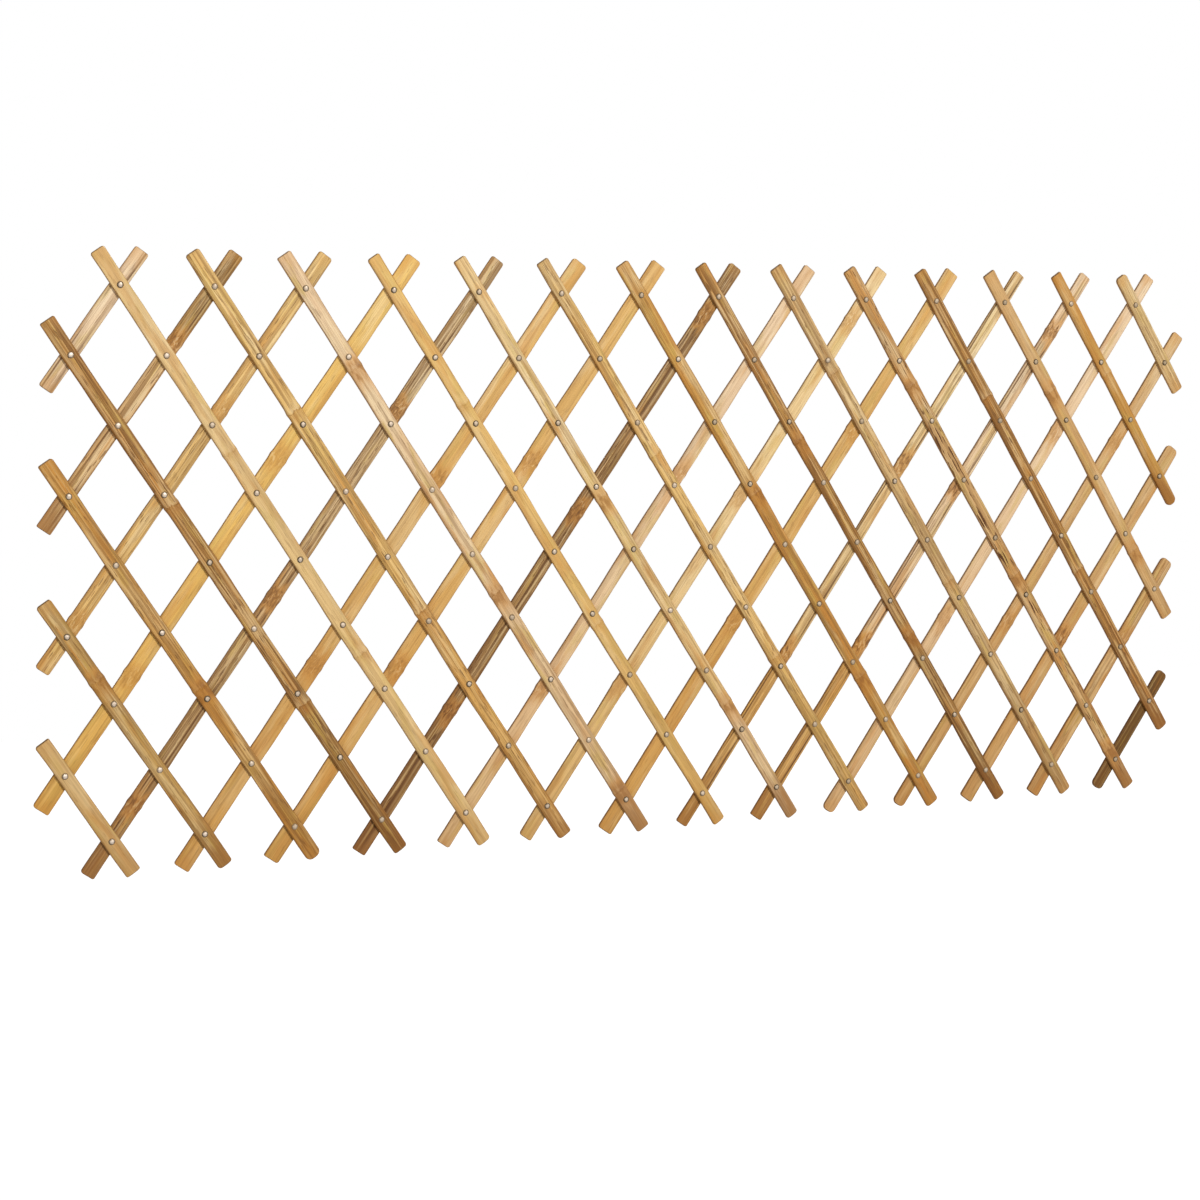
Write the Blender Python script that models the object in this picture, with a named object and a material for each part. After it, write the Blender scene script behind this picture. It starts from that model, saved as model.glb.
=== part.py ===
"""Expandable trellis panel: split bamboo slats in two layers, pinned into lazy tongs.

All front slats slope one way and all back slats the other. A steel pin joins them at
every crossing, so the panel opens and closes as one linkage. X runs along the panel,
Y from the viewer towards the wall and Z up. The origin is on the wall plane, at the
tail of the anchor pin. Units are metres.
"""

import math

import bmesh
import bpy

# Lattice, as the panel stands open
column_step = 0.062
row_step = 0.090
columns = 28
rows = 8

# Bamboo slats: flat on the inner side, crowned on the side of the bamboo's skin
slat_width = 0.0208
narrow_by = 0.0018
broad_by = 0.0027
slat_thickness = 0.0055
side_height = 0.0034
crown_flat = 0.0100
end_overhang = 0.0535
end_chamfer = 0.0030
layer_gap = 0.0003

# Nodes of the bamboo: low ridges across the crown of each slat
node_length = 0.0120
node_rise = 0.0006

# Steel pins: domed head in front, shank through both slats, flared tail behind
pin_diameter = 0.0025
head_diameter = 0.0088
head_shoulder = 0.0062
head_height = 0.0010
head_crown = 0.0006
head_sink = 0.0002
tail_diameter = 0.0056
tail_height = 0.0012
running_clearance = 0.0003
head_sides = 7
shank_sides = 6

# Slats cut from a narrower or a broader strip, counted from the left
narrow_front_slats = (8, 9, 10, 12, 17)
narrow_back_slats = (12,)
broad_back_slats = (4, 6, 7, 11, 16, 17)

# Where the nodes of each slat lie, in spans of the lattice below its top pin
front_nodes = (
    (), (0.65,), (2.84,), (2.16, 5.16), (2.40, 5.45), (1.80, 4.84),
    (1.16, 4.60, 7.84), (1.70, 5.16), (3.16, 6.55), (2.50, 5.84), (3.16, 6.25), (2.30, 5.60),
    (1.20, 4.70), (1.40, 4.65, 7.80), (1.60, 4.60), (1.50, 4.30), (1.20,), (),
)
back_nodes = (
    (), (0.80,), (1.80, 4.80), (2.50, 5.60), (1.80, 4.55, 7.50), (2.84, 5.60),
    (2.60, 5.70), (0.30, 3.40, 6.40), (2.80, 6.16), (0.35, 3.20, 6.20), (2.16, 5.25), (2.70, 5.80),
    (0.50, 3.16, 5.70), (2.20, 5.35), (1.40, 4.45), (2.80,), (0.84,), (),
)

# Tones of the bamboo, as red, green and blue
straw = (0.67, 0.45, 0.19)
cream = (0.67, 0.46, 0.25)
golden = (0.67, 0.42, 0.13)
honey = (0.64, 0.37, 0.11)
tan = (0.55, 0.33, 0.12)
orange = (0.52, 0.27, 0.07)
russet = (0.43, 0.22, 0.06)
brown = (0.34, 0.18, 0.05)
grey = (0.45, 0.28, 0.13)
olive = (0.18, 0.09, 0.02)
steel = (0.60, 0.59, 0.57)

front_tones = (
    tan, tan, russet, brown, straw, tan, cream, golden, honey,
    golden, orange, russet, tan, tan, russet, tan, orange, tan,
)
back_tones = (
    cream, tan, tan, golden, grey, honey, honey, brown, cream,
    straw, honey, tan, tan, cream, tan, tan, tan, olive,
)

# Worked out from the sizes above
pitch = math.hypot(column_step, row_step)
slope = math.atan2(column_step, row_step)
middle_column = columns // 2
anchor_row = rows // 2 - 1
back_outer = -tail_height
back_inner = back_outer - slat_thickness
front_inner = back_inner - layer_gap
front_outer = front_inner - slat_thickness
bore_radius = (pin_diameter / 2 + running_clearance) / math.cos(math.pi / shank_sides)


def clear_scene():
    """Removes every object that the file was opened with."""
    for item in list(bpy.data.objects):
        bpy.data.objects.remove(item, do_unlink=True)


def surface(name, colour, roughness, metallic):
    """A plain Principled material."""
    material = bpy.data.materials.new(name)
    material.use_nodes = True
    shader = material.node_tree.nodes["Principled BSDF"]
    shader.inputs["Base Color"].default_value = (*colour, 1.0)
    shader.inputs["Roughness"].default_value = roughness
    shader.inputs["Metallic"].default_value = metallic
    return material


def add_object(name, shape, material=None):
    """Puts a bmesh into the scene as a named object."""
    bmesh.ops.recalc_face_normals(shape, faces=shape.faces)
    mesh = bpy.data.meshes.new(name)
    shape.to_mesh(mesh)
    shape.free()
    item = bpy.data.objects.new(name, mesh)
    bpy.context.scene.collection.objects.link(item)
    if material:
        mesh.materials.append(material)
    return item


class Slat:
    """One strip of the lattice, known by its layer and its number from the left."""

    def __init__(self, layer, number):
        self.layer = layer
        self.number = number
        self.name = f"{layer}_slat_{number:02d}"
        self.in_front = layer == "front"
        if self.in_front:
            start = 2 * number - 1 - rows
            places = [(start + row, row) for row in range(rows + 1)]
            self.tilt = -slope
            narrow, broad, tones, nodes = narrow_front_slats, (), front_tones, front_nodes
        else:
            start = 2 * number - 1
            places = [(start - row, row) for row in range(rows + 1)]
            self.tilt = slope
            narrow, broad, tones, nodes = narrow_back_slats, broad_back_slats, back_tones, back_nodes
        self.crossings = [place for place in places if 0 <= place[0] <= columns]
        self.width = slat_width
        if number in narrow:
            self.width -= narrow_by
        if number in broad:
            self.width += broad_by
        self.tone = tones[(number - 1) % len(tones)]
        self.nodes = nodes[(number - 1) % len(nodes)]
        self.carrier = None
        self.joint = None

    def height_of(self, row):
        """How far up the slat a row's pin lies, from the slat's own joint."""
        return (self.joint[1] - row) * pitch

    def node_heights(self):
        """Places of the bamboo nodes, always between two pins."""
        top_row = self.crossings[0][1]
        length = self.crossings[-1][1] - top_row
        top_pin = self.height_of(top_row)
        return sorted(top_pin - spans * pitch for spans in self.nodes if spans < length)


def all_slats():
    """Every slat of both layers, left to right."""
    count = (columns + rows) // 2
    front = [Slat("front", number) for number in range(1, count + 1)]
    back = [Slat("back", number) for number in range(1, count + 1)]
    return front + back


def link_slats(slats):
    """Gives each slat the crossing that it hinges on, and the slat that carries it.

    The two slats on the anchor pin come first. Each further slat hinges on a slat that
    is already held, at the crossing nearest the middle row.
    """
    anchor = (middle_column, anchor_row)
    held = [slat for slat in slats if anchor in slat.crossings]
    for slat in held:
        slat.joint = anchor
    waiting = [slat for slat in slats if slat not in held]
    while waiting:
        carriers = list(held)
        for slat in list(waiting):
            meetings = [
                (abs(place[1] - rows / 2), place[1], place, carrier)
                for carrier in carriers
                if carrier.layer != slat.layer
                for place in carrier.crossings
                if place in slat.crossings
            ]
            if meetings:
                nearest = min(meetings, key=lambda meeting: meeting[:2])
                slat.joint = nearest[2]
                slat.carrier = nearest[3]
                held.append(slat)
                waiting.remove(slat)


def section(slat, height, width, rise):
    """A ring of six corners across a slat: flat inner side, sides and crown."""
    inner, outward = (front_inner, -1) if slat.in_front else (back_inner, 1)
    side = inner + outward * side_height
    crown = inner + outward * (slat_thickness + rise)
    half = width / 2
    flat = crown_flat / 2
    outline = [
        (-half, inner), (half, inner), (half, side),
        (flat, crown), (-flat, crown), (-half, side),
    ]
    return [(across, depth, height) for across, depth in outline]


def slat_shape(slat):
    """A strip lofted from end to end, with chamfered corners and raised nodes."""
    top = slat.height_of(slat.crossings[0][1]) + end_overhang
    bottom = slat.height_of(slat.crossings[-1][1]) - end_overhang
    end_width = slat.width - 2 * end_chamfer
    rings = [
        section(slat, bottom, end_width, 0),
        section(slat, bottom + end_chamfer, slat.width, 0),
    ]
    for height in slat.node_heights():
        rings.append(section(slat, height - node_length / 2, slat.width, 0))
        rings.append(section(slat, height, slat.width, node_rise))
        rings.append(section(slat, height + node_length / 2, slat.width, 0))
    rings.append(section(slat, top - end_chamfer, slat.width, 0))
    rings.append(section(slat, top, end_width, 0))

    shape = bmesh.new()
    loops = [[shape.verts.new(corner) for corner in ring] for ring in rings]
    for lower, upper in zip(loops, loops[1:]):
        for first in range(len(lower)):
            second = (first + 1) % len(lower)
            shape.faces.new((lower[first], lower[second], upper[second], upper[first]))
    shape.faces.new(loops[0])
    shape.faces.new(loops[-1])
    bmesh.ops.dissolve_limit(
        shape, angle_limit=math.radians(0.1), verts=shape.verts, edges=shape.edges
    )
    return shape


def add_ring(shape, radius, depth, height, sides):
    """A loop of edges round a pin's axis, which runs along Y."""
    corners = []
    for step in range(sides):
        turn = 2 * math.pi * (step + 0.5) / sides
        place = (radius * math.cos(turn), depth, height + radius * math.sin(turn))
        corners.append(shape.verts.new(place))
    edges = [
        shape.edges.new((corners[step], corners[(step + 1) % sides]))
        for step in range(sides)
    ]
    return corners, edges


def add_turned(shape, profile, height):
    """Adds a closed turned solid from rings of (radius, depth, sides).

    Rings with unlike counts of sides lie in one plane, as a head's flat underside.
    """
    rings = [add_ring(shape, radius, depth, height, sides) for radius, depth, sides in profile]
    for (corners, edges), (further_corners, further_edges) in zip(rings, rings[1:]):
        if len(corners) == len(further_corners):
            for first in range(len(corners)):
                second = (first + 1) % len(corners)
                shape.faces.new((
                    corners[first], corners[second],
                    further_corners[second], further_corners[first],
                ))
        else:
            bmesh.ops.triangle_fill(shape, edges=edges + further_edges, use_beauty=True)
    first_end = shape.faces.new(rings[0][0])
    shape.faces.new(rings[-1][0])
    return first_end


def add_pin(shape, height, lift):
    """Adds a pin whose head stands off the front slat by lift, at a height on its slat."""
    seat = front_outer - lift
    shank = pin_diameter / 2
    profile = [
        (head_shoulder / 2, seat - head_height, head_sides),
        (head_diameter / 2, seat, head_sides),
        (shank, seat, shank_sides),
        (shank, back_outer, shank_sides),
        (tail_diameter / 2, 0.0, shank_sides),
    ]
    top = add_turned(shape, profile, height)
    top.normal_update()
    crown = head_crown if top.normal.y < 0 else -head_crown
    bmesh.ops.poke(shape, faces=[top], offset=crown)


def add_bore(shape, height):
    """Adds a cutter that runs clear through one slat of either layer."""
    beyond = slat_thickness
    profile = [
        (bore_radius, front_outer - beyond, shank_sides),
        (bore_radius, back_outer + beyond, shank_sides),
    ]
    add_turned(shape, profile, height)


def attach_boolean(target, name, shape, operation):
    """Cuts a shape from a slat, or joins it on, with a hidden helper object."""
    helper = add_object(name, shape)
    helper.parent = target
    helper.hide_render = True
    helper.display_type = "WIRE"
    modifier = target.modifiers.new(name, "BOOLEAN")
    modifier.operation = operation
    modifier.solver = "EXACT"
    modifier.object = helper


def has_own_pin(place):
    """Whether a crossing's pin is a solid of its own, and not fixed to its front slat."""
    return place[0] in (0, 1, middle_column, columns - 1, columns)


def own_pin_name(place):
    """Names a separate pin by its group and its place down the group."""
    if place == (middle_column, anchor_row):
        return "anchor_pin"
    if place[0] == middle_column:
        return f"middle_pin_{place[1]}"
    side = "left" if place[0] < middle_column else "right"
    return f"{side}_end_pin_{place[1] + 1}"


def build_slat(slat):
    """Makes one slat with its bores and, on a front slat, the pins that it carries."""
    material = surface(slat.name, slat.tone, roughness=0.45, metallic=0.0)
    item = add_object(slat.name, slat_shape(slat), material)
    bored = [place for place in slat.crossings if not slat.in_front or has_own_pin(place)]
    pinned = [place for place in slat.crossings if place not in bored]
    if bored:
        cutter = bmesh.new()
        for place in bored:
            add_bore(cutter, slat.height_of(place[1]))
        attach_boolean(item, slat.name + "_bores", cutter, "DIFFERENCE")
    if pinned:
        pins = bmesh.new()
        for place in pinned:
            add_pin(pins, slat.height_of(place[1]), lift=-head_sink)
        attach_boolean(item, slat.name + "_pins", pins, "UNION")
    return item


def place_slat(slat, items):
    """Stands a slat on its joint, carried by the slat that it hinges on."""
    item = items[slat.name]
    if slat.carrier is None:
        item.location = (0.0, 0.0, 0.0)
        item.rotation_euler = (0.0, slat.tilt, 0.0)
        return
    carrier = slat.carrier
    item.parent = items[carrier.name]
    item.location = (0.0, 0.0, carrier.height_of(slat.joint[1]))
    item.rotation_euler = (0.0, slat.tilt - carrier.tilt, 0.0)


def build_own_pins(slats, items):
    """Makes the separate pins and hangs each on its front slat."""
    for slat in slats:
        if not slat.in_front:
            continue
        for place in slat.crossings:
            if not has_own_pin(place):
                continue
            shape = bmesh.new()
            add_pin(shape, 0.0, lift=running_clearance)
            name = own_pin_name(place)
            pin = add_object(name, shape, surface(name, steel, roughness=0.3, metallic=1.0))
            pin.data.shade_smooth()
            pin.data.set_sharp_from_angle(angle=math.radians(35))
            if place != (middle_column, anchor_row):
                pin.parent = items[slat.name]
                pin.location = (0.0, 0.0, slat.height_of(place[1]))


def build_trellis():
    """Builds the whole panel."""
    clear_scene()
    slats = all_slats()
    link_slats(slats)
    items = {slat.name: build_slat(slat) for slat in slats}
    for slat in slats:
        place_slat(slat, items)
    build_own_pins(slats, items)


build_trellis()
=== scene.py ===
"""Looks of the expandable trellis panel: split bamboo slats and domed steel pins.

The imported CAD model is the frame. Each slat and pin is built again in finer detail, in
the CAD's own lattice, and rides on the body that carries it. Units are metres, with X
along the panel, Y from the viewer towards the wall and Z up.
"""

import math
import random

import bmesh
import bpy
import numpy as np
from mathutils import Euler, Matrix, Vector


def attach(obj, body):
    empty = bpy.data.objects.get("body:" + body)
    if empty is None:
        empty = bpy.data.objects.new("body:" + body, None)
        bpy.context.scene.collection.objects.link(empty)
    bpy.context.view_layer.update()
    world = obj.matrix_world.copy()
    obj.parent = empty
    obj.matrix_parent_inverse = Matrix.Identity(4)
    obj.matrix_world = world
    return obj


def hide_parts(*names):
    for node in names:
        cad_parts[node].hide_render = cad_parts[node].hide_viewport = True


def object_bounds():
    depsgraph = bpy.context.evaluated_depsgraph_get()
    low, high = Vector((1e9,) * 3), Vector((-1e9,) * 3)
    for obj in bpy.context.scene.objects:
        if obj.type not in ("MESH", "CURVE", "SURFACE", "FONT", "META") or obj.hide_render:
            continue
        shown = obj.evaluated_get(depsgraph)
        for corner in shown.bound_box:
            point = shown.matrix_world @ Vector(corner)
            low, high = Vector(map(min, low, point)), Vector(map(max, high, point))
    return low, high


# Lattice, as in the CAD
column_step = 0.062
row_step = 0.090
columns = 28
rows = 8

# Slats, as in the CAD
slat_width = 0.0208
narrow_by = 0.0018
broad_by = 0.0027
slat_thickness = 0.0055
side_height = 0.0034
end_overhang = 0.0535
layer_gap = 0.0003
narrow_front_slats = (8, 9, 10, 12, 17)
narrow_back_slats = (12,)
broad_back_slats = (4, 6, 7, 11, 16, 17)

# Finer form of a slat
points_across = 15
ring_spacing = 0.012
crown_power = 2.5
edge_chamfer = 0.0005
side_swell = 0.0001
edge_wander = 0.0005
edge_wave = 0.21
bow = 0.0009
bow_wave = 0.9
crown_wander = 0.00012
crown_wave = 0.12
groove_wander = 0.0012
groove_wave = 0.5
node_rise = 0.0006
node_ridge = 0.0022
node_scar = 0.0003
node_swell = 0.0015
node_reach = 0.0090
end_softness = 0.0006
end_rings = (0.00025, 0.0006, 0.0012, 0.0020, 0.0031, 0.0046, 0.0070)
slight_corner = (0.0018, 0.0045)
round_corner = 0.0075

# Pins, as in the CAD, with the curve of the head and of the peened tail
pin_diameter = 0.0025
head_diameter = 0.0088
head_height = 0.0016
head_sink = 0.0001
tail_diameter = 0.0056
tail_height = 0.0012
pin_sides = 24
pin_lean = 3.0
head_turns = (6, 18, 32, 46, 60, 74, 88)

# Camera that took the photograph
camera_place = (-1.6039, -3.0440, 0.3328)
camera_turn = (85.951, -1.673, -25.946)
camera_lens = 72.39
camera_sensor = 36.0
camera_shift = -0.1500

# Light: the direction towards each lamp, its share of plain light on the side of the
# panel that faces it and its size in degrees, and the sky's share on all sides
lamps = {
    "sun": ((0.32, -0.90, 0.38), 0.61, 9.0),
    "fill": ((0.38, 0.85, 0.36), 0.42, 25.0),
}
sky_share = 0.36
floor_drop = 1.30
floor_size = 14.0
floor_glow = 0.27

# Tones of the bamboo, as they look in plain light
tones = {
    "straw": (0.88, 0.74, 0.50),
    "cream": (0.87, 0.73, 0.55),
    "golden": (0.87, 0.70, 0.41),
    "yellow": (0.885, 0.70, 0.36),
    "honey": (0.83, 0.64, 0.35),
    "sand": (0.805, 0.66, 0.435),
    "tan": (0.80, 0.63, 0.40),
    "orange": (0.75, 0.54, 0.24),
    "russet": (0.70, 0.50, 0.24),
    "brown": (0.62, 0.45, 0.21),
    "grey": (0.74, 0.60, 0.40),
    "khaki": (0.755, 0.595, 0.325),
    "smoke": (0.65, 0.495, 0.285),
    "olive": (0.465, 0.34, 0.11),
}
pale_skin = (0.93, 0.84, 0.66)
fresh_skin = (0.79, 0.67, 0.34)
warm = (0.74, 0.48, 0.18)
rust = (0.47, 0.27, 0.08)
dark_fibre = (0.35, 0.21, 0.08)
end_grain = (0.50, 0.37, 0.22)

# Painted light: shares of red, green and blue light by which the bamboo is painted paler at the panel's top
# row and deeper and more golden at its bottom row, as light falls off down the panel
painted_top_light = {"front": (1.05, 1.08, 1.17), "back": (1.10, 1.18, 1.38)}
painted_foot_shade = {"front": (0.86, 0.83, 0.78), "back": (0.83, 0.76, 0.65)}

# Tone above the lowest node and below it, look, how the nodes show, and the nodes'
# places in lattice spans below the top pin, for each slat from left to right
front_slats = (
    ("sand", "sand", "plain", "faint", ()),
    ("khaki", "khaki", "worn", "stained", (0.65,)),
    ("orange", "orange", "fibrous", "stained", (2.84,)),
    ("russet", "brown", "streaked", "ringed", (2.16, 5.16)),
    ("straw", "straw", "plain", "faint", (2.40, 5.45)),
    ("golden", "honey", "fibrous", "ringed", (1.80, 4.84)),
    ("cream", "cream", "banded", "stained", (1.16, 4.60, 7.84)),
    ("golden", "golden", "plain", "faint", (1.70, 5.16)),
    ("straw", "cream", "banded", "stained", (3.16, 6.55)),
    ("golden", "golden", "fibrous", "faint", (2.50, 5.84)),
    ("orange", "orange", "banded", "stained", (3.16, 6.25)),
    ("russet", "brown", "streaked", "stained", (2.30, 5.60)),
    ("sand", "sand", "fibrous", "faint", (1.20, 4.70)),
    ("tan", "tan", "flecked", "stained", (1.40, 4.65, 7.80)),
    ("russet", "russet", "streaked", "ringed", (1.60, 4.60)),
    ("tan", "tan", "plain", "stained", (1.50, 4.30)),
    ("orange", "orange", "plain", "faint", (1.20,)),
    ("straw", "straw", "fibrous", "faint", ()),
)
back_slats = (
    ("cream", "cream", "ridged", "faint", ()),
    ("brown", "tan", "grooved", "stained", (0.80,)),
    ("golden", "golden", "fibrous", "faint", (1.80, 4.80)),
    ("yellow", "yellow", "plain", "faint", (2.50, 5.60)),
    ("grey", "grey", "grooved", "stained", (1.80, 4.55, 7.50)),
    ("honey", "honey", "plain", "ringed", (2.84, 5.60)),
    ("honey", "honey", "plain", "ringed", (2.60, 5.70)),
    ("smoke", "smoke", "channelled", "stained", (0.30, 3.40, 6.40)),
    ("cream", "cream", "plain", "faint", (2.80, 6.16)),
    ("straw", "straw", "plain", "faint", (0.35, 3.20, 6.20)),
    ("honey", "honey", "plain", "faint", (2.16, 5.25)),
    ("straw", "honey", "ridged", "stained", (2.70, 5.80)),
    ("cream", "honey", "ridged", "stained", (0.50, 3.16, 5.70)),
    ("cream", "cream", "plain", "faint", (2.20, 5.35)),
    ("tan", "tan", "plain", "faint", (1.40, 4.45)),
    ("tan", "tan", "plain", "stained", (2.80,)),
    ("tan", "tan", "banded", "faint", (0.84,)),
    ("olive", "olive", "streaked", "faint", ()),
)

# How strong the streaks, flecks, bands, tone changes and darker edges of each look are, the edges partly edge
# wear and partly painted shade, and its grooves: place across the slat from -1 to 1, half width, depth and
# how dark they are
looks = {
    "plain": dict(streaks=0.13, flecks=0.25, bands=0.24, blotches=0.60, edges=0.15, grooves=()),
    "banded": dict(streaks=0.30, flecks=0.40, bands=0.50, blotches=0.95, edges=0.30, grooves=()),
    "fibrous": dict(streaks=0.55, flecks=0.70, bands=0.40, blotches=0.80, edges=0.35, grooves=()),
    "streaked": dict(
        streaks=0.90, flecks=0.75, bands=0.75, blotches=0.90, edges=0.60,
        grooves=((0.55, 0.0014, 0.0004, 0.50),),
    ),
    "worn": dict(
        streaks=0.45, flecks=0.55, bands=0.60, blotches=1.00, edges=0.70,
        grooves=((0.55, 0.0014, 0.0004, 0.25),),
    ),
    "flecked": dict(streaks=0.45, flecks=1.00, bands=0.45, blotches=1.00, edges=0.40, grooves=()),
    "grooved": dict(
        streaks=0.75, flecks=0.70, bands=0.55, blotches=0.75, edges=0.40,
        grooves=((-0.42, 0.0012, 0.0005, 1.00), (0.38, 0.0014, 0.0006, 1.00)),
    ),
    "channelled": dict(
        streaks=0.95, flecks=0.85, bands=0.90, blotches=0.70, edges=0.80,
        grooves=((0.05, 0.0022, 0.0010, 1.00), (-0.62, 0.0012, 0.0003, 0.70)),
    ),
    "ridged": dict(
        streaks=0.40, flecks=0.40, bands=0.40, blotches=0.70, edges=0.25,
        grooves=((-0.66, 0.0014, 0.0006, 1.00), (0.62, 0.0016, 0.0006, 1.00)),
    ),
}

# How nodes show: how dark their stain, line and pale upper side are, and how far the
# stain reaches below and above the line
node_kinds = {
    "faint": dict(stain=0.30, line=0.20, glow=0.30, below=0.012, above=0.004),
    "ringed": dict(stain=0.45, line=0.45, glow=0.65, below=0.014, above=0.001),
    "stained": dict(stain=1.00, line=0.30, glow=0.15, below=0.024, above=0.012),
}

# Slats whose top or bottom end is well rounded
round_tops = ("front_slat_18", "back_slat_16", "back_slat_17", "back_slat_18")
round_bottoms = ("front_slat_03", "front_slat_17", "back_slat_14", "back_slat_15", "back_slat_18")

# Slats whose bottom end is browned
browned_feet = (
    "front_slat_02", "front_slat_04", "front_slat_06", "front_slat_07", "front_slat_09",
    "front_slat_12", "front_slat_14", "front_slat_15", "front_slat_17", "back_slat_02",
    "back_slat_05", "back_slat_08", "back_slat_12", "back_slat_13",
)

# Worked out from the sizes above
pitch = math.hypot(column_step, row_step)
slope = math.atan2(column_step, row_step)
middle_column = columns // 2
anchor_row = rows // 2 - 1
back_outer = -tail_height
back_inner = back_outer - slat_thickness
front_inner = back_inner - layer_gap
front_outer = front_inner - slat_thickness


def place_of(place):
    """Where a crossing's pin stands on the wall plane."""
    column, row = place
    return Vector(((column - middle_column) * column_step, 0.0, (anchor_row - row) * row_step))


class Slat:
    """One strip of the lattice. Its own Z runs up the strip from its lowest pin."""

    def __init__(self, layer, number):
        self.number = number
        self.name = f"{layer}_slat_{number:02d}"
        self.in_front = layer == "front"
        if self.in_front:
            start = 2 * number - 1 - rows
            places = [(start + row, row) for row in range(rows + 1)]
            self.tilt = -slope
            traits = front_slats[number - 1]
            narrow, broad = narrow_front_slats, ()
        else:
            start = 2 * number - 1
            places = [(start - row, row) for row in range(rows + 1)]
            self.tilt = slope
            traits = back_slats[number - 1]
            narrow, broad = narrow_back_slats, broad_back_slats
        self.upper_tone, self.lower_tone, look, nodes, self.node_spans = traits
        self.look = looks[look]
        self.node_kind = node_kinds[nodes]
        self.crossings = [place for place in places if 0 <= place[0] <= columns]
        self.width = slat_width
        if number in narrow:
            self.width -= narrow_by
        if number in broad:
            self.width += broad_by
        self.chance = random.Random(number + (0 if self.in_front else 100))
        self.foot_stain = 0.75 if self.name in browned_feet else 0.20
        self.bottom = -end_overhang
        self.top = (len(self.crossings) - 1) * pitch + end_overhang

    def pin_height(self, place):
        """How far up the slat a crossing lies."""
        return (self.crossings[-1][1] - place[1]) * pitch

    def node_heights(self):
        """Places of the bamboo nodes, from the highest down."""
        highest_pin = self.top - end_overhang
        return [highest_pin - spans * pitch for spans in self.node_spans]

    def matrix(self):
        """Stands the slat on its lowest pin."""
        turn = Matrix.Rotation(self.tilt, 4, "Y")
        return Matrix.Translation(place_of(self.crossings[-1])) @ turn


def wander(chance, size, longest):
    """A slow random curve along a slat, made of three waves, as a function of height."""
    waves = []
    for share in (1.0, 0.45, 0.21):
        length = longest * share * chance.uniform(0.8, 1.2)
        waves.append((size * share / 1.66, 2 * math.pi / length, chance.uniform(0, 2 * math.pi)))

    def curve(height):
        return sum(tall * np.sin(rate * height + shift) for tall, rate, shift in waves)

    return curve


def stations(slat):
    """Heights of the rings along a slat, closer together at its nodes and ends."""
    length = slat.top - slat.bottom
    count = round(length / ring_spacing)
    heights = [slat.bottom + length * step / count for step in range(count + 1)]
    for node in slat.node_heights():
        near = [node + node_reach * step / 8 for step in range(-8, 9)]
        heights = [height for height in heights if abs(height - node) > node_reach * 1.15] + near
    for step in end_rings:
        heights += [slat.bottom + step, slat.top - step]
    return np.array(sorted(heights))


def corner_inset(depth, radius):
    """How far a rounded corner draws the edge in, at a depth from the slat's end."""
    inside = np.clip(radius - depth, 0, radius)
    return radius - np.sqrt(radius**2 - inside**2)


def bell(distance, reach):
    """A smooth hump that is 1 at no distance and next to nothing at twice the reach."""
    return np.exp(-((distance / reach) ** 2))


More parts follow.
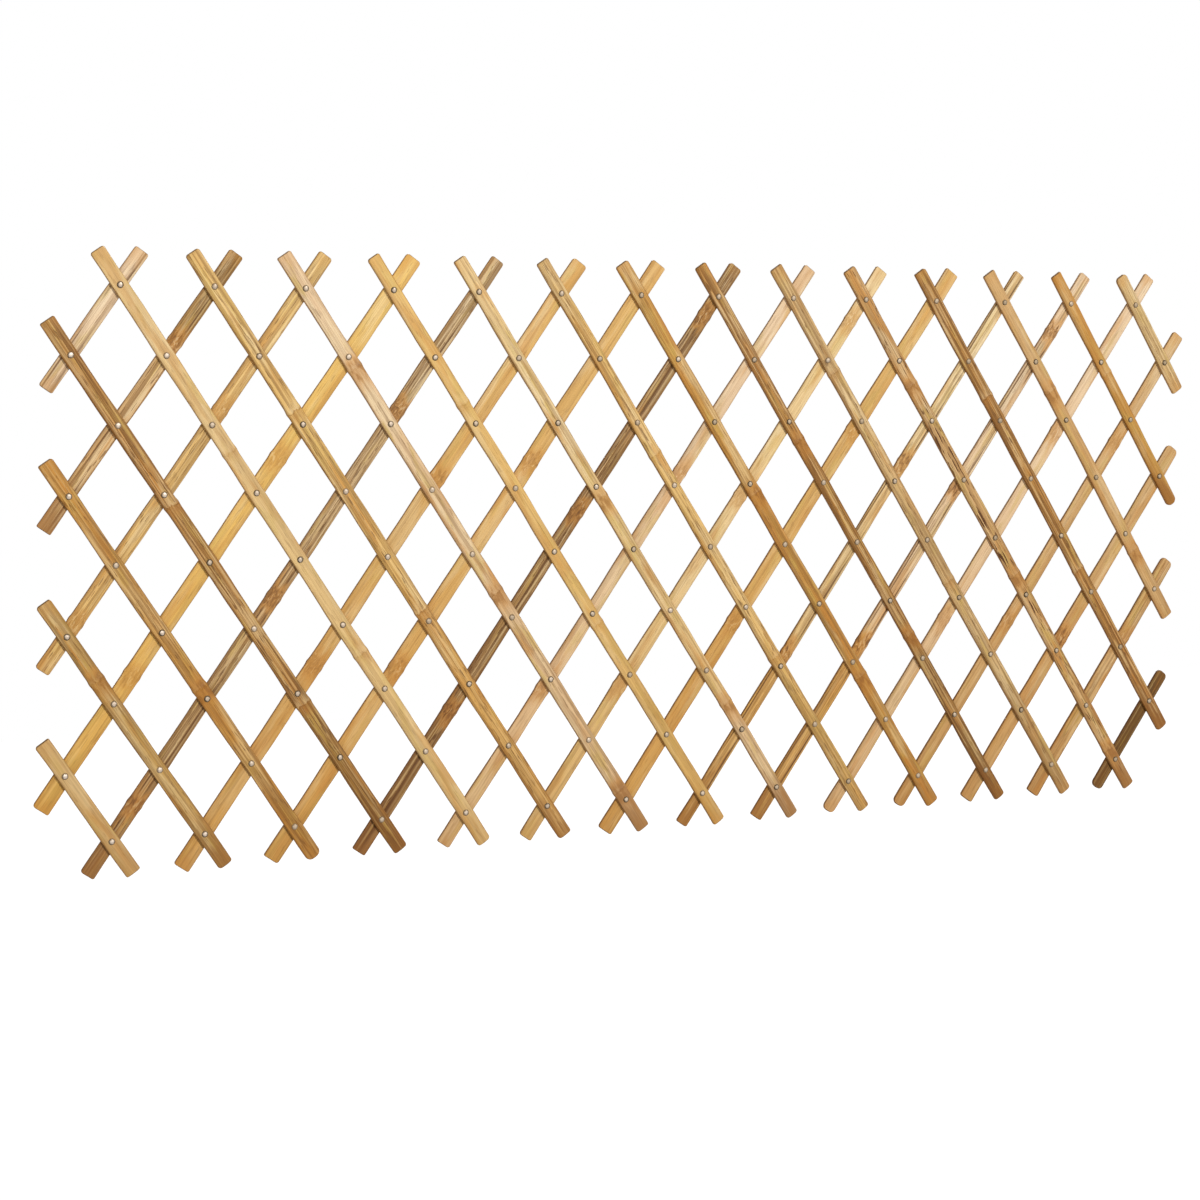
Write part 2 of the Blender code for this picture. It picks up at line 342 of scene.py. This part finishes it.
def slat_points(slat):
    """Corners of a slat, ring by ring, and what its material needs to know at each one."""
    chance = slat.chance
    height = stations(slat)[:, None]
    share = np.sin(np.linspace(-0.5, 0.5, points_across) * math.pi)[None, :]
    nodes = slat.node_heights()

    half = slat.width / 2 + sum(bell(height - node, node_reach / 2) for node in nodes) * node_swell / 2
    sides = []
    for _ in ("left", "right"):
        bottom_corner = round_corner if slat.name in round_bottoms else chance.uniform(*slight_corner)
        top_corner = round_corner if slat.name in round_tops else chance.uniform(*slight_corner)
        edge = half + wander(chance, edge_wander, edge_wave)(height)
        edge = edge - corner_inset(height - slat.bottom, bottom_corner)
        edge = edge - corner_inset(slat.top - height, top_corner)
        sides.append(edge)
    left, right = sides
    middle = wander(chance, bow, bow_wave)(height)
    across = middle + np.where(share < 0, left, right) * share

    groove = np.zeros_like(across)
    lip = np.zeros_like(across)
    relief = np.zeros_like(across)
    for place, reach, depth, dark in slat.look["grooves"]:
        line = place * half + wander(chance, groove_wander, groove_wave)(height)
        strength = np.clip(0.70 + wander(chance, 0.6, 0.30)(height), 0.20, 1)
        cut = bell(across - middle - line, reach) * strength
        groove = np.maximum(groove, cut * dark)
        beside = bell(across - middle - line - reach * 1.8, reach * 0.8)
        lip = np.maximum(lip, beside * strength * dark)
        relief = relief + cut * depth

    ridge = sum(bell(height - node, node_ridge) for node in nodes) * node_rise
    scar = sum(bell(height - node + node_ridge * 1.9, node_ridge * 0.4) for node in nodes) * node_scar
    nearest_end = np.minimum(height - slat.bottom, slat.top - height)
    softening = np.clip(1 - nearest_end / end_softness, 0, 1) ** 2 * end_softness
    crown = (1 - np.abs(share) ** crown_power) ** (1 / crown_power)
    outer = side_height + (slat_thickness - side_height) * crown
    unevenness = wander(chance, crown_wander, crown_wave)(height)
    outer = outer + (ridge - scar + unevenness) * crown - softening
    inner = edge_chamfer * (np.abs(share) > 0.999) + softening
    if slat.in_front:
        outer = outer - relief
    else:
        inner = inner + relief

    rings = len(height)

    def ring(inner_row, right_value, outer_row, left_value):
        """Joins the two faces and the two side walls into closed rings."""
        return np.concatenate([inner_row, right_value, outer_row[:, ::-1], left_value], axis=1)

    wall = np.full((rings, 1), (side_height + edge_chamfer) / 2)
    depth = ring(inner + 0 * across, wall, outer, wall)
    x = ring(across, middle + right + side_swell, across, middle - left - side_swell)
    direction, face = (-1, front_inner) if slat.in_front else (1, back_inner)
    flat_share = np.repeat(share, rings, axis=0)
    one = np.ones((rings, 1))
    points = np.stack([x, face + direction * depth, np.broadcast_to(height, x.shape)], axis=2)
    marks = {
        "across": ring(flat_share, one, flat_share, -one),
        "side": ring(0 * across, one, 0 * across, one),
        "groove": ring(groove, 0 * one, groove, 0 * one),
        "lip": ring(lip, 0 * one, lip, 0 * one),
        "to_end": np.broadcast_to(np.clip(nearest_end, 0, 0.05), x.shape),
    }
    return points, marks


def new_mesh(name, corners, faces, marks, smooth_angle):
    """A mesh object with outward faces, smooth shading and one value for each mark."""
    mesh = bpy.data.meshes.new(name)
    mesh.from_pydata(corners, [], faces)
    shape = bmesh.new()
    shape.from_mesh(mesh)
    bmesh.ops.recalc_face_normals(shape, faces=shape.faces)
    shape.to_mesh(mesh)
    shape.free()
    for mark, values in marks.items():
        attribute = mesh.attributes.new(mark, "FLOAT", "POINT")
        attribute.data.foreach_set("value", np.ascontiguousarray(values, dtype=np.float32).ravel())
    mesh.shade_smooth()
    mesh.set_sharp_from_angle(angle=math.radians(smooth_angle))
    item = bpy.data.objects.new(name, mesh)
    bpy.context.scene.collection.objects.link(item)
    return item


def build_slat(slat):
    """One bamboo strip, closed at its ends, that stands for its CAD node.

    Its bores are left to the CAD solid, because the pins' heads and tails hide them.
    """
    points, marks = slat_points(slat)
    rings, around = points.shape[:2]
    faces = []
    for ring in range(rings - 1):
        for corner in range(around):
            following = (corner + 1) % around
            low, high = ring * around, (ring + 1) * around
            faces.append((low + corner, low + following, high + following, high + corner))
    for low in (0, (rings - 1) * around):
        inner = [low + step for step in range(points_across)]
        outer = [low + 2 * points_across - step for step in range(points_across)]
        for step in range(points_across - 1):
            faces.append((inner[step], inner[step + 1], outer[step + 1], outer[step]))
        faces.append((inner[-1], low + points_across, outer[-1]))
        faces.append((inner[0], outer[0], low + around - 1))
    piece = new_mesh(f"bamboo_{slat.name}", points.reshape(-1, 3).tolist(), faces, marks, 38)
    piece.matrix_world = slat.matrix()
    piece.data.materials.append(bamboo(slat))
    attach(piece, slat.name)
    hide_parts(slat.name)
    return piece


def pin_profile():
    """Radius and depth down a pin: domed head, shank through both slats, peened tail."""
    seat = front_outer + head_sink
    rim = head_diameter / 2
    shank = pin_diameter / 2
    tail = tail_diameter / 2
    profile = []
    for turn in head_turns:
        angle = math.radians(turn)
        profile.append((rim * math.sin(angle), seat - head_height * math.cos(angle) ** 0.8))
    profile += [
        (rim * 0.97, seat + head_sink / 2),
        (shank * 1.10, seat + head_sink),
        (shank, seat + 4 * head_sink),
        (shank, back_outer - head_sink),
        (tail * 0.80, back_outer),
        (tail, back_outer + tail_height * 0.30),
        (tail * 0.96, back_outer + tail_height * 0.62),
        (tail * 0.70, back_outer + tail_height * 0.94),
        (tail * 0.30, back_outer + tail_height),
    ]
    return profile


def build_pins(name, slat, places):
    """Pins on one slat as one piece, each turned and leaning a little by chance."""
    corners, faces, rims, wear, rim_darkness = [], [], [], [], []
    profile = pin_profile()
    head_rings = len(head_turns) + 1
    for place in places:
        chance = random.Random(place[0] * 10 + place[1])
        start = len(corners)
        lean = Euler((
            math.radians(chance.uniform(-pin_lean, pin_lean)),
            chance.uniform(0, math.pi),
            math.radians(chance.uniform(-pin_lean, pin_lean)),
        )).to_matrix()
        dull = chance.uniform(0.0, 0.4) + 0.6 * math.sqrt(place[0] / columns)
        # How dark this pin's rim ring is, partly soiling and partly painted reflection
        rim_dark_share = chance.uniform(0.0, 1.0)
        centre = Vector((0, front_outer, 0))
        stand = Vector((0, 0, slat.pin_height(place)))
        for number, (radius, depth) in enumerate(profile):
            for step in range(pin_sides):
                angle = 2 * math.pi * step / pin_sides
                corner = Vector((radius * math.cos(angle), depth, radius * math.sin(angle)))
                if number < head_rings:
                    corner = lean @ (corner - centre) + centre
                corners.append(tuple(corner + stand))
                rims.append(min(1.0, radius / (head_diameter / 2)))
                wear.append(dull)
                rim_darkness.append(rim_dark_share)
        for number in range(len(profile) - 1):
            for step in range(pin_sides):
                following = (step + 1) % pin_sides
                low = start + number * pin_sides
                high = low + pin_sides
                faces.append((low + step, low + following, high + following, high + step))
        faces.append([start + step for step in range(pin_sides)])
        last = start + (len(profile) - 1) * pin_sides
        faces.append([last + step for step in range(pin_sides)])
    piece = new_mesh(name, corners, faces, {"rim": rims, "wear": wear, "rim_darkness": rim_darkness}, 50)
    piece.matrix_world = slat.matrix()
    return piece


class Graph:
    """A material's nodes, added one by one and joined as they are added."""

    def __init__(self, name):
        self.material = bpy.data.materials.new(name)
        self.material.use_nodes = True
        self.nodes = self.material.node_tree.nodes
        self.links = self.material.node_tree.links
        self.shader = self.nodes["Principled BSDF"]
        self.place = self.nodes.new("ShaderNodeTexCoord").outputs["Object"]

    def fill(self, socket, value):
        """Gives a socket a value, or joins another socket to it."""
        if isinstance(value, bpy.types.NodeSocket):
            self.links.new(value, socket)
        else:
            socket.default_value = value

    def mark(self, name):
        """A value that the mesh carries at each corner."""
        node = self.nodes.new("ShaderNodeAttribute")
        node.attribute_name = name
        return node.outputs["Fac"]

    def height(self):
        """How far up the piece a point lies."""
        node = self.nodes.new("ShaderNodeSeparateXYZ")
        self.links.new(self.place, node.inputs[0])
        return node.outputs["Z"]

    def noise(self, scale, shift, detail=2.0, distortion=0.0):
        """Noise with its own scale along each axis, in cells to the metre."""
        mapping = self.nodes.new("ShaderNodeMapping")
        self.links.new(self.place, mapping.inputs["Vector"])
        mapping.inputs["Scale"].default_value = scale
        mapping.inputs["Location"].default_value = (shift, shift * 0.37, shift * 0.71)
        node = self.nodes.new("ShaderNodeTexNoise")
        self.links.new(mapping.outputs["Vector"], node.inputs["Vector"])
        node.inputs["Scale"].default_value = 1.0
        node.inputs["Detail"].default_value = detail
        node.inputs["Distortion"].default_value = distortion
        return node.outputs["Fac"]

    def ramp(self, value, start, end, low=0.0, high=1.0):
        """Smoothly maps start to end onto low to high, and holds beyond them."""
        node = self.nodes.new("ShaderNodeMapRange")
        node.interpolation_type = "SMOOTHSTEP"
        self.fill(node.inputs["Value"], value)
        self.fill(node.inputs["From Min"], start)
        self.fill(node.inputs["From Max"], end)
        self.fill(node.inputs["To Min"], low)
        self.fill(node.inputs["To Max"], high)
        return node.outputs["Result"]

    def math(self, operation, first, second=0.0):
        """One step of arithmetic on two values."""
        node = self.nodes.new("ShaderNodeMath")
        node.operation = operation
        self.fill(node.inputs[0], first)
        self.fill(node.inputs[1], second)
        return node.outputs[0]

    def mix(self, share, first, second, blend="MIX"):
        """Mixes two colours."""
        node = self.nodes.new("ShaderNodeMix")
        node.data_type = "RGBA"
        node.blend_type = blend
        self.fill(node.inputs[0], share)
        self.fill(node.inputs[6], first)
        self.fill(node.inputs[7], second)
        return node.outputs[2]

    def above_node(self, slat):
        """How far above the slat's nearest node a point lies, or below it where negative."""
        height = self.height()
        nearest = 1.0
        for node in slat.node_heights():
            rise = self.math("SUBTRACT", height, node)
            closer = self.math("LESS_THAN", self.math("ABSOLUTE", rise), self.math("ABSOLUTE", nearest))
            change = self.math("MULTIPLY", closer, self.math("SUBTRACT", rise, nearest))
            nearest = self.math("ADD", nearest, change)
        return nearest

    def painted_light_falloff(self, slat):
        """Painted light: the tint that changes evenly from the panel's top row to its bottom row, lighter at
        the top and shaded at the foot.
        """
        layer = "front" if slat.in_front else "back"
        lowest = slat.crossings[-1][1]
        fallen = self.math("SUBTRACT", lowest / rows, self.math("DIVIDE", self.height(), rows * pitch))
        return self.mix(fallen, (*painted_top_light[layer], 1.0), (*painted_foot_shade[layer], 1.0))

    def two_tones(self, slat, other, share, shift):
        """The slat's tone drawn towards another colour. The tone may change at the lowest node."""
        upper = linear(blended(tones[slat.upper_tone], other, share))
        lower = linear(blended(tones[slat.lower_tone], other, share))
        if upper == lower:
            return upper
        ragged = self.ramp(self.noise((160, 90, 9), shift + 71), 0.2, 0.8, -0.05, 0.05)
        change = slat.node_heights()[-1]
        above = self.ramp(self.math("ADD", self.height(), ragged), change - 0.03, change + 0.03)
        return self.mix(above, lower, upper)

    def skin_nodes(self, colour, slat, shift, pale, rich, rusty, darkest):
        """On the smooth side each node is a thin line in a mottled stain, paler just above it."""
        kind = slat.node_kind
        ragged = self.noise((260, 160, 30), shift + 43, detail=2)
        to_node = self.math("ADD", self.above_node(slat), self.ramp(ragged, 0.2, 0.8, -0.0022, 0.0022))
        above = self.ramp(to_node, -0.0008, 0.0008)
        below = self.ramp(above, 1.0, 0.0)
        mottle = self.ramp(self.noise((170, 150, 50), shift + 47, detail=3), 0.38, 0.62)
        low, high, stain = kind["below"], kind["above"], kind["stain"]
        blush = self.ramp(to_node, -1.9 * low, -0.3 * low)
        blush = self.math("MULTIPLY", blush, self.ramp(to_node, 2.2 * high, 0.6 * high))
        blush = self.math("MULTIPLY", blush, self.ramp(mottle, 0, 1, 0.65 * stain, stain))
        colour = self.mix(blush, colour, rich)
        knot = self.ramp(to_node, -1.1 * low, -0.45 * low)
        knot = self.math("MULTIPLY", knot, self.ramp(to_node, 1.2 * high, 0.3 * high))
        knot = self.math("MULTIPLY", knot, self.ramp(mottle, 0, 1, 0.15 * stain, 0.75 * stain))
        colour = self.mix(knot, colour, rusty)
        glow = self.math("MULTIPLY", self.ramp(to_node, 0.024, 0.001), above)
        glow = self.math("MULTIPLY", glow, self.ramp(mottle, 0, 1, kind["glow"], 0.3 * kind["glow"]))
        colour = self.mix(glow, colour, pale)
        line = self.math("MULTIPLY", self.ramp(to_node, -0.0026, -0.0008), below)
        line = self.math("MULTIPLY", line, self.ramp(mottle, 0, 1, 0.4 * kind["line"], kind["line"]))
        return self.mix(line, colour, darkest)

    def split_nodes(self, colour, slat, shift, pale, rich, rusty, darkest):
        """On the split side each node is a mottled patch where the fibres cross."""
        kind = slat.node_kind
        ragged = self.noise((150, 150, 40), shift + 43, detail=3)
        ragged = self.ramp(ragged, 0.2, 0.8, -0.010, 0.010)
        away = self.math("ADD", self.math("ABSOLUTE", self.above_node(slat)), ragged)
        colour = self.mix(self.ramp(away, 0.030, 0.012, 0, 0.40 + 0.50 * kind["stain"]), colour, rich)
        patch = self.ramp(away, 0.019, 0.008)
        mottle = self.noise((230, 190, 75), shift + 47, detail=3, distortion=1.2)
        dark = self.ramp(mottle, 0.42, 0.56, 0.30 * kind["stain"], 0.90 * kind["stain"])
        colour = self.mix(self.math("MULTIPLY", patch, dark), colour, rusty)
        black = self.ramp(mottle, 0.57, 0.66, 0, 0.75 * kind["stain"])
        colour = self.mix(self.math("MULTIPLY", patch, black), colour, darkest)
        return self.mix(self.math("MULTIPLY", patch, self.ramp(mottle, 0.44, 0.34, 0, 0.45)), colour, pale)

    def bump(self, height, strength, distance):
        """Raises the surface a little where the height is greater."""
        node = self.nodes.new("ShaderNodeBump")
        node.inputs["Strength"].default_value = strength
        node.inputs["Distance"].default_value = distance
        self.links.new(height, node.inputs["Height"])
        self.links.new(node.outputs["Normal"], self.shader.inputs["Normal"])


def linear(colour, share=1.0):
    """A colour as written turned into light, times a share, for a node's socket."""
    light = [c / 12.92 if c <= 0.04045 else ((c + 0.055) / 1.055) ** 2.4 for c in colour]
    return (*(value * share for value in light), 1.0)


def blended(first, second, share):
    """A colour part of the way from the first to the second."""
    return tuple(a + (b - a) * share for a, b in zip(first, second))


def bamboo(slat):
    """Split bamboo: long fibres, darker streaks and flecks, and its banded nodes, with painted shade on its
    edges and side walls and a painted fall of light down the panel.
    """
    graph = Graph(f"bamboo_{slat.name}")
    look = slat.look
    shift = slat.chance.uniform(10, 90)
    body, pale, rich, fresh, rusty, deep, darkest = (
        graph.two_tones(slat, other, share, shift)
        for other, share in (
            (warm, 0.0), (pale_skin, 0.55), (warm, 0.58), (fresh_skin, 0.55),
            (rust, 0.66), (dark_fibre, 0.52), (dark_fibre, 0.86),
        )
    )
    blotches = graph.noise((60, 60, 8), shift, detail=3)
    patches = graph.noise((70, 70, 11), shift + 7, detail=3)
    greens = graph.noise((80, 80, 15), shift + 73, detail=3)
    stains = graph.noise((110, 80, 7.0), shift + 79, detail=3)
    bands = graph.noise((210, 120, 1.5), shift + 3, detail=2)
    fibres = graph.noise((1500, 1500, 14), shift + 13, detail=4)
    streaks = graph.noise((330, 220, 4.0), shift + 19, detail=3, distortion=0.2)
    fine = graph.noise((620, 400, 8), shift + 29, detail=2)
    dashes = graph.noise((560, 400, 45), shift + 37, detail=1)

    colour = graph.mix(graph.ramp(blotches, 0.46, 0.64, 0, look["blotches"]), body, pale)
    colour = graph.mix(graph.ramp(greens, 0.50, 0.64, 0, look["blotches"]), colour, fresh)
    colour = graph.mix(graph.ramp(patches, 0.50, 0.66, 0, look["blotches"]), colour, rich)
    colour = graph.mix(graph.ramp(stains, 0.54, 0.66, 0, look["streaks"] * 0.7), colour, deep)
    colour = graph.mix(graph.ramp(bands, 0.46, 0.36, 0, look["bands"] * 0.5), colour, pale)
    colour = graph.mix(graph.ramp(bands, 0.52, 0.62, 0, look["bands"]), colour, deep)
    streak = graph.ramp(streaks, 0.52, 0.59, 0, look["streaks"])
    colour = graph.mix(graph.ramp(streaks, 0.46, 0.38, 0, look["streaks"] * 0.55), colour, pale)
    colour = graph.mix(streak, colour, deep)
    colour = graph.mix(graph.ramp(fine, 0.54, 0.59, 0, 0.08 + 0.68 * look["streaks"]), colour, deep)
    colour = graph.mix(graph.ramp(dashes, 0.61, 0.68, 0, look["flecks"]), colour, darkest)
    if look is looks["flecked"]:
        flecks = graph.ramp(graph.noise((260, 230, 22), shift + 61, detail=2), 0.58, 0.63)
        first, second = slat.node_heights()[:2]
        height = graph.height()
        below = graph.ramp(height, first - 0.01, first - 0.05)
        above = graph.ramp(height, second - 0.10, second - 0.06)
        flecks = graph.math("MULTIPLY", flecks, graph.math("MULTIPLY", below, above))
        colour = graph.mix(flecks, colour, linear(dark_fibre))

    colour = graph.mix(graph.ramp(graph.mark("lip"), 0.25, 0.80, 0, 0.40), colour, pale)
    groove = graph.mark("groove")
    colour = graph.mix(graph.ramp(groove, 0.20, 0.75, 0, 0.85), colour, darkest)
    colour = graph.mix(graph.ramp(groove, 0.70, 1.00, 0, 0.70), colour, linear(dark_fibre))
    if slat.node_spans:
        show_nodes = graph.skin_nodes if slat.in_front else graph.split_nodes
        colour = show_nodes(colour, slat, shift, pale, rich, rusty, darkest)

    uneven = graph.noise((90, 90, 16), shift + 67, detail=3)
    across = graph.math("ABSOLUTE", graph.mark("across"))
    # Darker edges, partly edge wear and partly painted shade where the crown rounds off, with a thin rust
    # line along both long edges
    edge = graph.ramp(graph.math("ADD", across, graph.ramp(uneven, 0.3, 0.7, -0.13, 0.13)), 0.70, 1.0)
    colour = graph.mix(graph.math("MULTIPLY", edge, look["edges"]), colour, deep)
    colour = graph.mix(graph.ramp(across, 0.86, 1.0, 0, 0.60), colour, rusty)
    to_end = graph.mark("to_end")
    stained = graph.ramp(graph.math("ADD", to_end, graph.ramp(uneven, 0.3, 0.7, -0.012, 0.012)), 0.030, 0.004)
    colour = graph.mix(graph.math("MULTIPLY", stained, slat.chance.uniform(0.1, 0.5)), colour, rich)
    to_foot = graph.math("ADD", graph.height(), graph.ramp(uneven, 0.3, 0.7, -0.030, 0.030))
    browned = graph.ramp(to_foot, 0.040, slat.bottom + 0.005, 0, slat.foot_stain)
    colour = graph.mix(browned, colour, rusty)
    # Painted shade: the side walls are darkened towards rust, as they look in shade
    side = graph.ramp(graph.mark("side"), 0.15, 0.9, 0, 0.60 + 0.35 * look["edges"])
    colour = graph.mix(side, colour, rusty)

    pores = graph.noise((1500, 1500, 200), shift + 51, detail=1)
    cut = graph.ramp(to_end, 0.0011, 0.0002)
    grain = graph.mix(graph.ramp(pores, 0.45, 0.62), linear(end_grain), darkest)
    colour = graph.mix(graph.math("MULTIPLY", cut, 0.80), colour, grain)

    # Painted light falling off down the panel: paler at the top row, deeper and more golden at the foot
    colour = graph.mix(1.0, colour, graph.painted_light_falloff(slat), blend="MULTIPLY")
    shade = graph.ramp(fibres, 0.25, 0.75, 0.93 - 0.10 * look["streaks"], 1.05 + 0.07 * look["streaks"])
    colour = graph.mix(1.0, colour, shade, blend="MULTIPLY")
    graph.fill(graph.shader.inputs["Base Color"], colour)

    rough = graph.ramp(fibres, 0.3, 0.7, 0.42, 0.60)
    rough = graph.math("ADD", rough, graph.math("MULTIPLY", streak, 0.12))
    graph.fill(graph.shader.inputs["Roughness"], graph.math("ADD", rough, graph.math("MULTIPLY", cut, 0.2)))
    ripple = graph.math("ADD", fibres, graph.math("MULTIPLY", fine, 0.7))
    ripple = graph.math("SUBTRACT", ripple, graph.math("MULTIPLY", streak, 0.8))
    graph.bump(ripple, strength=0.45, distance=0.0003)
    graph.shader.inputs["Specular IOR Level"].default_value = 0.20
    return graph.material


def steel():
    """Bright zinc-plated steel, dulled towards the rim of each head, whose darker ring is partly soiling and
    partly a painted reflection of the darker surroundings on the steep rim.
    """
    graph = Graph("pin_steel")
    cloud = graph.noise((420, 420, 420), 11, detail=3)
    scratches = graph.noise((2600, 700, 900), 23, detail=2)
    rim = graph.mark("rim")
    worn = graph.math("ADD", rim, graph.ramp(cloud, 0.3, 0.7, -0.10, 0.10))
    wear = graph.mark("wear")
    bright = graph.mix(graph.ramp(cloud, 0.4, 0.65), linear((0.78, 0.73, 0.68)), linear((0.70, 0.64, 0.58)))
    bright = graph.mix(wear, bright, linear((0.60, 0.53, 0.43)))
    # Painted reflection, partly soiling: the darker ring stands in for the steep rim reflecting the darker
    # bamboo around it
    ring = graph.mix(graph.mark("rim_darkness"), linear((0.58, 0.50, 0.40)), linear((0.33, 0.28, 0.21)))
    colour = graph.mix(graph.ramp(worn, 0.45, 0.80), bright, ring)
    graph.fill(graph.shader.inputs["Base Color"], colour)
    graph.shader.inputs["Metallic"].default_value = 1.0
    rough = graph.ramp(scratches, 0.3, 0.7, 0.42, 0.56)
    rough = graph.math("ADD", rough, graph.math("MULTIPLY", wear, 0.22))
    graph.fill(graph.shader.inputs["Roughness"], graph.math("ADD", rough, graph.ramp(worn, 0.6, 1.0, 0, 0.2)))
    graph.bump(scratches, strength=0.25, distance=0.0001)
    return graph.material


def has_own_pin(place):
    """Whether a crossing's pin is a CAD node of its own, and not part of its front slat."""
    return place[0] in (0, 1, middle_column, columns - 1, columns)


def own_pin_name(place):
    """The CAD's name for a separate pin."""
    if place == (middle_column, anchor_row):
        return "anchor_pin"
    if place[0] == middle_column:
        return f"middle_pin_{place[1]}"
    side = "left" if place[0] < middle_column else "right"
    return f"{side}_end_pin_{place[1] + 1}"


def dress_pins(slat, metal):
    """All pins of one front slat: the separate ones singly, and the rest as one piece."""
    fused = [place for place in slat.crossings if not has_own_pin(place)]
    if fused:
        piece = build_pins(f"pins_of_{slat.name}", slat, fused)
        piece.data.materials.append(metal)
        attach(piece, slat.name)
        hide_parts(slat.name)
    for place in slat.crossings:
        if has_own_pin(place):
            node = own_pin_name(place)
            piece = build_pins(f"steel_{node}", slat, [place])
            piece.data.materials.append(metal)
            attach(piece, "anchor" if node == "anchor_pin" else slat.name)
            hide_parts(node)


def background_rays(nodes, links):
    """1 for the rays that see the background, straight, in metal or through glass."""
    ray = nodes.new("ShaderNodeLightPath")
    seen = ray.outputs["Is Camera Ray"]
    for kind in ("Is Glossy Ray", "Is Transmission Ray"):
        either = nodes.new("ShaderNodeMath")
        either.operation = "MAXIMUM"
        links.new(seen, either.inputs[0])
        links.new(ray.outputs[kind], either.inputs[1])
        seen = either.outputs[0]
    return seen


def build_stage(lowest):
    """A plain pale floor under the panel, a lamp on each side of it and an even white sky."""
    mesh = bpy.data.meshes.new("floor")
    half = floor_size / 2
    level = lowest - floor_drop
    mesh.from_pydata(
        [(-half, -half, level), (half, -half, level), (half, half, level), (-half, half, level)],
        [], [(0, 1, 2, 3)],
    )
    floor = bpy.data.objects.new("floor", mesh)
    bpy.context.scene.collection.objects.link(floor)
    graph = Graph("floor")
    graph.shader.inputs["Base Color"].default_value = linear((0.97, 0.97, 0.97))
    graph.shader.inputs["Roughness"].default_value = 0.9
    seen = graph.math("MULTIPLY", background_rays(graph.nodes, graph.links), floor_glow)
    graph.shader.inputs["Emission Color"].default_value = (1, 1, 1, 1)
    graph.fill(graph.shader.inputs["Emission Strength"], seen)
    mesh.materials.append(graph.material)

    for name, (direction, share, size) in lamps.items():
        light = bpy.data.lights.new(name, "SUN")
        facing = Vector(direction).normalized()
        light.energy = share * math.pi / abs(facing.y)
        light.angle = math.radians(size)
        lamp = bpy.data.objects.new(name, light)
        lamp.rotation_euler = facing.to_track_quat("Z", "Y").to_euler()
        bpy.context.scene.collection.objects.link(lamp)

    world = bpy.data.worlds.new("sky")
    bpy.context.scene.world = world
    world.use_nodes = True
    nodes, links = world.node_tree.nodes, world.node_tree.links
    sky = nodes["Background"]
    sky.inputs["Color"].default_value = (1, 1, 1, 1)
    sky.inputs["Strength"].default_value = sky_share
    white = nodes.new("ShaderNodeBackground")
    white.inputs["Color"].default_value = (1, 1, 1, 1)
    white.inputs["Strength"].default_value = 1.0
    blend = nodes.new("ShaderNodeMixShader")
    links.new(background_rays(nodes, links), blend.inputs["Fac"])
    links.new(sky.outputs[0], blend.inputs[1])
    links.new(white.outputs[0], blend.inputs[2])
    links.new(blend.outputs[0], nodes["World Output"].inputs["Surface"])


def build_camera():
    """The camera that took the photograph."""
    data = bpy.data.cameras.new("camera")
    data.lens = camera_lens
    data.sensor_width = camera_sensor
    data.shift_y = camera_shift
    camera = bpy.data.objects.new("camera", data)
    camera.location = camera_place
    camera.rotation_euler = [math.radians(turn) for turn in camera_turn]
    bpy.context.scene.collection.objects.link(camera)
    bpy.context.scene.camera = camera


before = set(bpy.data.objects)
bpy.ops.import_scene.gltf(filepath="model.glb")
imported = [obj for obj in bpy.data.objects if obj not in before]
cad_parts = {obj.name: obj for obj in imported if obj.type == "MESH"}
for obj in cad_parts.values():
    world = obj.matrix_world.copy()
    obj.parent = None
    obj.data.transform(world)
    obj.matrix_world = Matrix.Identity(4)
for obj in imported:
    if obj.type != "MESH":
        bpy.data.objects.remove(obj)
cad_box = [list(corner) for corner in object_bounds()]
bpy.context.scene.view_settings.view_transform = "Standard"
build_camera()
count = (columns + rows) // 2
metal = steel()
for number in range(1, count + 1):
    front = Slat("front", number)
    build_slat(front)
    dress_pins(front, metal)
    build_slat(Slat("back", number))
build_stage(cad_box[0][2])

bpy.context.view_layer.update()
